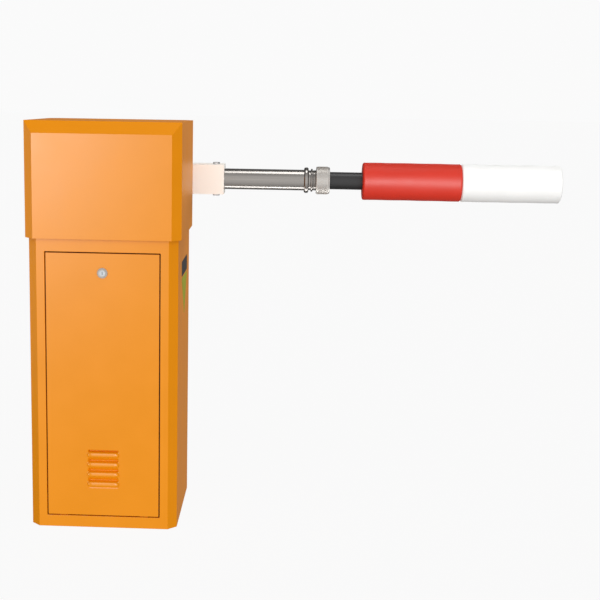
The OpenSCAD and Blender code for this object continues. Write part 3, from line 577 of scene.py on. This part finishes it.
class GATE_OT_stage(bpy.types.Operator):
    """Pale floor, soft studio light and the camera"""
    bl_idname = "gate.stage"
    bl_label = "Stage"

    PAINT = ("orange_paint",)
    BOOM = ("white_paint", "red_foam", "white_foam")
    PALE = ("white_paint", "white_foam")
    ROUND_METAL = ("stainless", "nut_metal")

    def execute(self, context):
        scene = context.scene
        scene.view_settings.view_transform = "Standard"
        self.make_floor()
        self.make_lights(scene)
        self.make_camera(scene)
        return {"FINISHED"}

    def make_floor(self):
        """A wide pale floor that glows a little, so that it meets the backdrop without a line."""
        reach = 40.0
        form = bmesh.new()
        bmesh.ops.create_grid(form, x_segments=1, y_segments=1, size=reach)
        mesh = finished(form, "floor")
        material, tree = blank("pale studio floor")
        finish_surface(tree, {
            "Base Color": linear("333333"), "Roughness": 0.9, "Specular IOR Level": 0.0,
            "Emission Color": linear("FAFAFA"), "Emission Strength": 0.978})
        mesh.materials.append(material)
        floor = bpy.data.objects.new("floor", mesh)
        bpy.context.scene.collection.objects.link(floor)
        floor.visible_diffuse = False
        floor.visible_glossy = False

    def make_lights(self, scene):
        """A top and a back light for every piece, and lights kept to a few finishes: sheens on paint
        and foam, a fill on the pale pieces and a strip that lines the round metal."""
        target = Vector((0.35, 0.24, 0.84))
        for name, place, size, power, gives, slots in (
            ("top_light", (0.5, 0.15, 4.3), (1.6, 1.1), 28, "both", tuple(MATERIALS)),
            ("back_light", (2.2, 3.6, 2.2), (2.4, 1.6), 75, "diffuse", tuple(MATERIALS)),
            ("cabinet_sheen", (-1.4, -3.5, 1.05), (1.0, 0.9), 470, "gloss", self.PAINT),
            ("left_sheen", (-3.2, 0.9, 0.6), (1.6, 2.2), 19, "gloss", self.PAINT),
            ("boom_sheen", (1.2, -3.6, 0.9), (1.0, 1.4), 230, "gloss", self.BOOM),
            ("pale_fill", (1.0, -1.6, 2.6), (1.0, 1.0), 10, "diffuse", self.PALE),
            ("low_strip", (0.35, 0.30, 0.03), (1.6, 0.20), 7, "gloss", self.ROUND_METAL),
        ):
            lamp = bpy.data.lights.new(name, "AREA")
            lamp.shape = "RECTANGLE"
            lamp.size, lamp.size_y = size
            lamp.energy = power
            item = bpy.data.objects.new(name, lamp)
            item.location = place
            item.rotation_euler = (target - Vector(place)).to_track_quat("-Z", "Y").to_euler()
            item.visible_camera = False
            item.visible_glossy = gives != "diffuse"
            item.visible_diffuse = gives != "gloss"
            scene.collection.objects.link(item)
            item.light_linking.receiver_collection = self.objects_with(scene, name, slots)
        self.make_world(scene)

    def objects_with(self, scene, light, slots):
        """The objects with one of the finishes named, as the collection that a light falls on."""
        lit = bpy.data.collections.new(light + "_receivers")
        finishes = [MATERIALS[slot] for slot in slots]
        for item in scene.objects:
            if item.type == "MESH" and item.data.materials and item.data.materials[0] in finishes:
                lit.objects.link(item)
        return lit

    def make_world(self, scene):
        """A wide soft front light that fades to the back, behind an even near-white backdrop."""
        back, front, right, least, backdrop = 0.22, 1.24, 0.12, 0.05, 0.958
        world = bpy.data.worlds.new("studio")
        scene.world = world
        world.use_nodes = True
        tree = world.node_tree
        tree.nodes.clear()
        way = add(tree, "ShaderNodeTexCoord").outputs["Generated"]
        axes = add(tree, "ShaderNodeSeparateXYZ", {"Vector": way})
        facing = add(tree, "ShaderNodeMapRange", {
            "Value": axes.outputs["Y"], "From Min": 0.0, "From Max": -1.0, "To Min": back,
            "To Max": back + front})
        lean = add(tree, "ShaderNodeMath", {0: axes.outputs["X"], 1: right, 2: facing.outputs["Result"]},
                   operation="MULTIPLY_ADD")
        glow = add(tree, "ShaderNodeMath", {0: lean.outputs[0], 1: least}, operation="MAXIMUM")
        ray = add(tree, "ShaderNodeLightPath").outputs["Is Camera Ray"]
        mix = add(tree, "ShaderNodeMix", {"Factor": ray}, data_type="FLOAT")
        tree.links.new(glow.outputs[0], mix.inputs[2])
        mix.inputs[3].default_value = backdrop
        light = add(tree, "ShaderNodeBackground", {"Color": (1, 1, 1, 1), "Strength": mix.outputs[0]})
        add(tree, "ShaderNodeOutputWorld", {"Surface": light.outputs["Background"]})

    def make_camera(self, scene):
        """A long lens in front of the cabinet, a little above the boom and looking slightly down."""
        place = Vector((0.4450, -3.0213, 1.0895))
        yaw, pitch, roll = -0.045, -0.176, 0.015
        lens = bpy.data.cameras.new("camera")
        lens.sensor_width = 36.0
        lens.lens = 72.69
        lens.shift_x = 0.11
        lens.clip_end = 200.0
        ahead = Vector((math.sin(yaw), math.cos(yaw), 0.0))
        forward = ahead * math.cos(pitch) + Vector((0, 0, math.sin(pitch)))
        level = Vector((math.cos(yaw), -math.sin(yaw), 0.0))
        upright = level.cross(forward)
        right = level * math.cos(roll) + upright * math.sin(roll)
        up = upright * math.cos(roll) - level * math.sin(roll)
        camera = bpy.data.objects.new("camera", lens)
        turn = Matrix((right, up, -forward)).transposed()
        camera.matrix_world = Matrix.Translation(place) @ turn.to_4x4()
        scene.collection.objects.link(camera)
        scene.camera = camera


class GATE_OT_finishes(bpy.types.Operator):
    """Gives every node of the frame its finish"""
    bl_idname = "gate.finishes"
    bl_label = "Finishes"

    def execute(self, context):
        MATERIALS.update(build_materials(context.scene.gate_colours))
        for name, item in NODES.items():
            item.data.materials.clear()
            item.data.materials.append(MATERIALS[SLOT_OF[name]])
        return {"FINISHED"}


class GATE_OT_sheet_metal(bpy.types.Operator):
    """Cabinet and hood with the rounded bends of folded sheet"""
    bl_idname = "gate.sheet_metal"
    bl_label = "Sheet metal"

    def execute(self, context):
        bend = context.scene.gate_sizes.sheet_bend
        rounded_piece("cabinet_folded_shell", "cabinet_shell", bend)
        rounded_piece("hood_folded_shell", "hood_shell", bend)
        return {"FINISHED"}


class GATE_OT_door(bpy.types.Operator):
    """Door panel with rounded folds and its pressed field of louvres"""
    bl_idname = "gate.door"
    bl_label = "Door"

    COUNT = 4                              # louvres
    PITCH = 25 * MM                        # from one louvre to the next
    RISE = 80 * MM                         # lowest louvre above the door's lower edge
    HALF_LENGTH = 39.5 * MM                # of a louvre
    RIB_HALF = 5.8 * MM                    # half of a rib's height
    RIB_OUT = 3.2 * MM                     # how far a rib stands out
    RIB_LEAN = 0.28                        # share by which a rib's lower side stands out further
    KNOB = (1.0 * MM, 3.4 * MM, 5 * MM)    # swelling near a rib's end: height, radius, distance in
    TROUGH = 7.5 * MM                      # depth of the recess above a rib
    GROOVE = (0.8 * MM, 2.2 * MM)          # line under a rib: depth and half width
    FIELD = (50 * MM, -16 * MM, 96 * MM)   # half width, low and high from the lowest louvre

    def execute(self, context):
        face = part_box("cabinet_shell")[0].y
        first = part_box("door_panel")[0].z + self.RISE
        half, below, above = self.FIELD
        self.panel(face, (half, first + below, first + above))
        self.pressing(face, first, (half, first + below, first + above))
        return {"FINISHED"}

    def panel(self, face, field):
        """The panel with rounded folds, cut out where the louvre field goes."""
        half, low, high = field
        door = bpy.data.objects.new("door_source", merged_copy("door_panel"))
        depth = 16 * MM
        form = bmesh.new()
        middle = Matrix.Translation((0, face, (low + high) / 2))
        block = Matrix.Diagonal((2 * half, depth, high - low, 1))
        bmesh.ops.create_cube(form, size=1.0, matrix=middle @ block)
        cutter = bpy.data.objects.new("field_block", finished(form, "field_block"))
        for item in (door, cutter):
            bpy.context.scene.collection.objects.link(item)
        soften(door, 0.8 * MM, 2)
        cut = door.modifiers.new("field", "BOOLEAN")
        cut.operation = "DIFFERENCE"
        cut.object = cutter
        graph = bpy.context.evaluated_depsgraph_get()
        mesh = bpy.data.meshes.new_from_object(door.evaluated_get(graph))
        mesh.name = "door_pressed_panel"
        for item in (door, cutter):
            bpy.data.objects.remove(item)
        smooth(mesh)
        item = object_from("door_pressed_panel", mesh, SLOT_OF["door_panel"])
        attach(item, BODY_OF["door_panel"])
        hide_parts("door_panel")

    def relief(self, x, z):
        """How far the pressed sheet stands out (m) at x across and z above the lowest louvre."""

        def ramp(value, start, end):
            share = min(1.0, max(0.0, (value - start) / (end - start)))
            return share * share * (3 - 2 * share)

        side = abs(x)
        inside = 1 - ramp(side, self.HALF_LENGTH - 6 * MM, self.HALF_LENGTH - 1 * MM)
        swell, knob_r, knob_in = self.KNOB
        groove, groove_half = self.GROOVE
        out = 0.0
        for i in range(self.COUNT):
            up = z - i * self.PITCH
            past = max(0.0, side - self.HALF_LENGTH + self.RIB_HALF)
            rib = max(0.0, 1 - (math.hypot(up, past) / self.RIB_HALF) ** 3) ** 0.4
            out += self.RIB_OUT * (1 - self.RIB_LEAN * up / self.RIB_HALF) * rib
            knob = math.hypot(up, side - self.HALF_LENGTH + knob_in) / knob_r
            out += swell * math.exp(-knob * knob)
            fade = 19 * MM if i < self.COUNT - 1 else 13 * MM
            out -= self.TROUGH * ramp(up, 5.6 * MM, 8.8 * MM) * (1 - ramp(up, 9 * MM, fade)) * inside
            under = (up + self.RIB_HALF + 2 * MM) / groove_half
            out -= groove * math.exp(-under * under) * inside
        return out

    def pressing(self, face, first, field):
        """The pressed sheet of the field as a closed grid of two equal skins."""
        half, low, high = field
        columns, rows, sheet = 100, 224, 1.5 * MM
        xs = [-half + 2 * half * i / columns for i in range(columns + 1)]
        zs = [low + (high - low) * j / rows for j in range(rows + 1)]
        form = bmesh.new()
        skins = []
        rims = []
        for depth in (0.0, sheet):
            skin = [[form.verts.new((x, face + depth - self.relief(x, z - first), z)) for z in zs]
                    for x in xs]
            skins.append(skin)
            rims.append([column[0] for column in skin] + skin[-1][1:]
                        + [column[-1] for column in skin[-2::-1]] + skin[0][-2:0:-1])
        for skin in skins:
            for i in range(columns):
                for j in range(rows):
                    form.faces.new((skin[i][j], skin[i + 1][j], skin[i + 1][j + 1], skin[i][j + 1]))
        front, back = rims
        for k in range(len(front)):
            n = (k + 1) % len(front)
            form.faces.new((front[k], front[n], back[n], back[k]))
        bmesh.ops.recalc_face_normals(form, faces=form.faces)
        mesh = finished(form, "door_louvre_field", 60)
        item = object_from("door_louvre_field", mesh, SLOT_OF["door_panel"])
        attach(item, BODY_OF["door_panel"])


class GATE_OT_boom_holder(bpy.types.Operator):
    """Cast boom holder and hub, with rounded edges, and their bolts with chamfered edges"""
    bl_idname = "gate.boom_holder"
    bl_label = "Boom holder"

    def execute(self, context):
        sizes = context.scene.gate_sizes
        rounded_piece("boom_holder_casting", "boom_holder", sizes.cast_edge)
        rounded_piece("boom_hub_casting", "boom_hub", sizes.cast_edge / 2)
        for node in ("hub_bolts", "holder_bolts"):
            rounded_piece(node + "_chamfered", node, sizes.machined_edge, 2)
        return {"FINISHED"}


class GATE_OT_coupling(bpy.types.Operator):
    """Turned collar, threaded neck and ribbed clamping nut of the boom's coupling"""
    bl_idname = "gate.coupling"
    bl_label = "Coupling"

    def execute(self, context):
        sizes = context.scene.gate_sizes
        self.collar_and_neck(sizes)
        self.nut(sizes)
        return {"FINISHED"}

    def collar_and_neck(self, sizes):
        """The collar, a bead behind it and the threaded neck that the nut turns on."""
        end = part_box("coupling_body")[1].x
        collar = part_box("boom_tube")[1].x
        neck = collar + 12 * MM
        bead, bead_end = neck + 6 * MM, neck + 11 * MM
        collar_r = round_radius("coupling_body")
        tube_r = round_radius("boom_tube")
        bead_r, root = tube_r + 3 * MM, tube_r - 1.4 * MM
        bore = round_radius("inner_tube") + 0.1 * MM
        points = [(collar, bore), (collar, collar_r), (neck, collar_r), (neck, root), (bead, root),
                  (bead, bead_r), (bead_end, bead_r), (bead_end, root), (end, root), (end, bore)]
        radii = [0, 4.5 * MM, 4.5 * MM, 1.5 * MM, 1 * MM, 2 * MM, 2 * MM, 0.5 * MM, 1 * MM, 0]
        body = turned("coupling_turned_body", filleted(points, radii), on_boom(), "stainless")
        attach(body, BODY_OF["coupling_body"])
        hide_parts("coupling_body")
        length = end - neck - 14 * MM
        middle = boom_line()
        tree = coil_tree("neck_thread", MATERIALS["stainless"])
        thread = node_mesh("coupling_neck_thread", tree, {
            "Turns": length / sizes.thread_pitch, "Radius": tube_r - 1.25 * MM, "Height": length,
            "Wire": 2.4 * MM, "Steps": 64, "Sides": 8,
            "Place": (bead_end + 1.5 * MM, middle.y, middle.z), "Turn": (0.0, math.pi / 2, 0.0)},
            "stainless")
        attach(thread, BODY_OF["coupling_body"])

    def nut(self, sizes):
        """The clamping nut: a bored ring with a stepped front, and grip ribs all round."""
        low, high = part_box("coupling_nut")
        start, end = low.x, high.x
        outer = round_radius("coupling_nut")
        face = outer - 0.9 * MM
        front = face - 1.2 * MM
        bore = round_radius("boom_tube") + 0.2 * MM
        mouth = round_radius("inner_tube") + 0.4 * MM
        points = [(start, bore), (start, face), (end - 4 * MM, face), (end - 3 * MM, front), (end, front),
                  (end, mouth), (end - 5 * MM, mouth), (end - 5 * MM, bore)]
        radii = [0.5 * MM, 1.4 * MM, 0.5 * MM, 0.3 * MM, 1.2 * MM, 0.8 * MM, 0, 0]
        body = turned("clamping_nut_turned", filleted(points, radii), on_boom(), "nut_metal")
        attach(body, BODY_OF["coupling_nut"])
        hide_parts("coupling_nut")
        length = end - start - 9 * MM
        form = bmesh.new()
        bmesh.ops.create_cube(form, size=1.0, matrix=Matrix.Diagonal((1.8 * MM, 1.9 * MM, length, 1)))
        bmesh.ops.bevel(form, geom=form.edges[:], offset=0.5 * MM, segments=2, affect="EDGES")
        rib = object_from("nut_rib", finished(form, "nut_rib", 35), "nut_metal")
        middle = boom_line()
        tree = ring_tree("nut_ribs", rib, MATERIALS["nut_metal"])
        ribs = node_mesh("clamping_nut_ribs", tree, {
            "Count": sizes.nut_ribs, "Radius": outer - 0.95 * MM,
            "Place": (start + 3 * MM + length / 2, middle.y, middle.z)}, "nut_metal")
        bpy.data.objects.remove(rib)
        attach(ribs, BODY_OF["coupling_nut"])


class GATE_OT_foam_sleeves(bpy.types.Operator):
    """Red and white foam sleeves and the end cap: soft ends, hems and a lengthwise seam"""
    bl_idname = "gate.foam_sleeves"
    bl_label = "Foam sleeves"

    def execute(self, context):
        edge = context.scene.gate_sizes.foam_edge
        self.sleeve("red_foam_sleeve", ["foam_red"], "red_foam", edge)
        self.sleeve("white_foam_sleeve", ["foam_white", "end_cap"], "white_foam", edge)
        return {"FINISHED"}

    def sleeve(self, name, nodes, slot, edge):
        """One sleeve over the nodes named, closed at its far end if it stands for the end cap too."""
        boxes = [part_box(node) for node in nodes]
        x0 = boxes[0][0].x
        x1 = max(high.x for low, high in boxes)
        outer = round_radius(nodes[0])
        closed = "end_cap" in nodes
        core = round_radius("inner_tube")
        inner = 0.5 * MM if closed else core
        rings = 84
        corner = 40 * MM
        along = [(x0 + (x1 - x0) * k / rings, outer) for k in range(1, rings)]
        start = filleted([(x0, core), (x0, outer), (x0 + corner, outer)], [0, edge, 0], 7)[:-1]
        end = filleted([(x1 - corner, outer), (x1, outer), (x1, inner)], [0, edge, 0], 7)[1:]
        outline = start + [point for point in along if start[-1][0] < point[0] < end[0][0]] + end
        if closed:
            outline += [(x1 - 20 * MM, inner), (x1 - 20 * MM, core)]

        def soft(x, r, angle):
            """Hems 14 mm from each end, a lengthwise seam at the back, and a slow unevenness."""
            if r < outer - 0.01 * MM:
                return 0.0
            hem = sum(math.exp(-((x - e) / (1.1 * MM)) ** 2) for e in (x0 + 14 * MM, x1 - 14 * MM))
            from_seam = (angle + 0.25 * math.pi) % (2 * math.pi) - math.pi
            seam = math.exp(-(from_seam / 0.02) ** 2)
            slow = math.sin(31 * x + 2 * angle) * math.sin(47 * x - 3 * angle + 1.0)
            return -0.45 * MM - 0.5 * MM * hem - 0.7 * MM * seam + 0.35 * MM * slow

        item = turned(name, outline, on_boom(), slot, 160, soft)
        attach(item, "boom")
        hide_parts(*nodes)


class GATE_OT_springs(bpy.types.Operator):
    """Two wound balance springs with their lower eyes"""
    bl_idname = "gate.springs"
    bl_label = "Balance springs"

    def execute(self, context):
        sizes = context.scene.gate_sizes
        joints = {joint["name"]: joint for joint in frame["joints"]}
        foot = Vector(joints["spring_tilt"]["pos_m"])
        pin = Vector(joints["eye_swing"]["pos_m"])
        line = (pin - foot).normalized()
        lean = math.atan2(line.x, line.z)
        eyes_low, eyes_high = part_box("spring_eyes")
        stem = 24 * MM
        hooks = 30 * MM + 26 * MM
        reach = (pin - foot).length
        slot = SLOT_OF["balance_springs"]
        tree = coil_tree("balance_coil", MATERIALS[slot])
        for side, y in (("front", eyes_low.y + 6 * MM), ("rear", eyes_high.y - 6 * MM)):
            base = Vector((foot.x, y, foot.z))
            coil = node_mesh("balance_spring_" + side, tree, {
                "Turns": float(sizes.spring_turns), "Radius": 17 * MM - sizes.spring_wire / 2,
                "Height": reach - hooks, "Wire": sizes.spring_wire - 0.2 * MM, "Steps": 20, "Sides": 8,
                "Place": tuple(base + line * stem), "Turn": (0.0, lean, 0.0)}, slot)
            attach(coil, BODY_OF["balance_springs"])
            if side == "front":
                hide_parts("balance_springs")
            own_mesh(coil)
            self.lower_eye("balance_spring_eye_" + side, base, lean)
        return {"FINISHED"}

    def lower_eye(self, name, foot, lean):
        """A forged eye on the lower pin, with a tapered stem screwed into the coil."""
        form = bmesh.new()
        bmesh.ops.create_cone(form, cap_ends=True, segments=40, radius1=9 * MM, radius2=9 * MM,
                              depth=11 * MM, matrix=Matrix.Rotation(math.pi / 2, 4, "X"))
        stem = Matrix.Rotation(lean, 4, "Y") @ Matrix.Translation((0, 0, 24 * MM))
        bmesh.ops.create_cone(form, cap_ends=True, segments=40, radius1=7 * MM, radius2=11.5 * MM,
                              depth=36 * MM, matrix=stem)
        bmesh.ops.translate(form, verts=form.verts, vec=foot)
        item = object_from(name, finished(form, name, 35), "zinc_steel")
        soften(item, 0.8 * MM, 2)
        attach(item, BODY_OF["balance_springs"])


class GATE_OT_small_fasteners(bpy.types.Operator):
    """Terminal screws, repeated over their places"""
    bl_idname = "gate.small_fasteners"
    bl_label = "Small fasteners"

    def execute(self, context):
        low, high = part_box("terminal_block")
        ways, pitch, inset, rise = 10, 8 * MM, 3.7 * MM, 14 * MM
        middle = (low.z + high.z) / 2
        places = [(low.x + inset + i * pitch, low.y, middle + side * rise)
                  for i in range(ways) for side in (-1, 1)]
        head = self.screw_head(2.6 * MM, 1.2 * MM)
        scattered("terminal_screws", places, head, BODY_OF["terminal_block"], "zinc_steel")
        return {"FINISHED"}

    def screw_head(self, radius, height):
        """A cheese-head screw facing -Y with a rounded rim."""
        form = bmesh.new()
        facing = Matrix.Translation((0, -height / 2, 0)) @ Matrix.Rotation(math.pi / 2, 4, "X")
        bmesh.ops.create_cone(form, cap_ends=True, segments=20, radius1=radius, radius2=radius,
                              depth=height, matrix=facing)
        rims = [edge for edge in form.edges if abs(edge.verts[0].co.y - edge.verts[1].co.y) < 1e-7]
        bmesh.ops.bevel(form, geom=rims, offset=radius * 0.15, segments=2, affect="EDGES")
        return object_from("screw_head", finished(form, "screw_head", 35), "zinc_steel")


class GATE_OT_lock_rim(bpy.types.Operator):
    """Domed, dished rim on the head of the door's cam lock"""
    bl_idname = "gate.lock_rim"
    bl_label = "Lock rim"

    def execute(self, context):
        low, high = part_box("lock_body")
        plug_low, plug_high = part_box("lock_plug")
        centre = Vector(((low.x + high.x) / 2, low.y, (low.z + high.z) / 2))
        inner = (plug_high.z - plug_low.z) / 2 + 1.2 * MM
        outer = 12.3 * MM
        back, crown = -0.4 * MM, 1.3 * MM
        points = [(back, inner), (0.3 * MM, inner), (crown, inner + 2.2 * MM), (crown, outer - 1.6 * MM),
                  (-0.3 * MM, outer), (back, outer)]
        radii = [0, 0.2 * MM, 0.6 * MM, 0.9 * MM, 0.1 * MM, 0]
        place = Matrix.Translation(centre) @ Matrix.Rotation(-math.pi / 2, 4, "Z")
        rim = turned("lock_domed_rim", filleted(points, radii), place, "nut_metal")
        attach(rim, BODY_OF["lock_body"])
        return {"FINISHED"}


class GATE_OT_side_label(bpy.types.Operator):
    """Plain two-colour marker on the cabinet's right side: a dark bar over a tapering field"""
    bl_idname = "gate.side_label"
    bl_label = "Side label"

    def execute(self, context):
        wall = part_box("cabinet_shell")[1].x
        self.patch("marker_bar", wall, [(-60, 617), (85, 617), (85, 655), (-60, 655)], "black_plastic")
        self.patch("marker_field", wall, [(12, 510), (85, 613), (-60, 613)], "label_film")
        return {"FINISHED"}

    def patch(self, name, wall, corners, slot):
        """A 0.3 mm film on the wall from its (y, z) corners in millimetres, the corners rounded."""
        film = 0.3 * MM
        outline = filleted([(y * MM, z * MM) for y, z in corners], [5 * MM] * len(corners), 5)
        form = bmesh.new()
        ends = [[form.verts.new((x, y, z)) for y, z in outline] for x in (wall, wall + film)]
        form.faces.new(ends[0])
        form.faces.new(ends[1])
        for i in range(len(outline)):
            j = (i + 1) % len(outline)
            form.faces.new((ends[0][i], ends[0][j], ends[1][j], ends[1][i]))
        bmesh.ops.recalc_face_normals(form, faces=form.faces)
        item = object_from(name, finished(form, name), slot)
        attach(item, BODY_OF["cabinet_shell"])


class GATE_PT_panel(bpy.types.Panel):
    """Sizes, colours and build steps of the gate"""
    bl_idname = "GATE_PT_panel"
    bl_label = "Parking Barrier Gate"
    bl_space_type = "VIEW_3D"
    bl_region_type = "UI"
    bl_category = "Gate"

    def draw(self, context):
        for group in (context.scene.gate_sizes, context.scene.gate_colours):
            for name in group.__annotations__:
                self.layout.prop(group, name)
        for operator in OPERATORS:
            self.layout.operator(operator.bl_idname)


OPERATORS = (
    GATE_OT_finishes, GATE_OT_sheet_metal, GATE_OT_door, GATE_OT_boom_holder, GATE_OT_coupling,
    GATE_OT_foam_sleeves, GATE_OT_springs, GATE_OT_small_fasteners, GATE_OT_lock_rim,
    GATE_OT_side_label, GATE_OT_stage,
)
CLASSES = (GateSizes, GateColours) + OPERATORS + (GATE_PT_panel,)


def register():
    for item in CLASSES:
        bpy.utils.register_class(item)
    bpy.types.Scene.gate_sizes = PointerProperty(type=GateSizes)
    bpy.types.Scene.gate_colours = PointerProperty(type=GateColours)


def unregister():
    del bpy.types.Scene.gate_colours
    del bpy.types.Scene.gate_sizes
    for item in reversed(CLASSES):
        bpy.utils.unregister_class(item)


def main():
    remove_start_objects()
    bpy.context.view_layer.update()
    register()
    for operator in OPERATORS:
        group, name = operator.bl_idname.split(".")
        getattr(getattr(bpy.ops, group), name)()


if __name__ == "__main__":
    main()
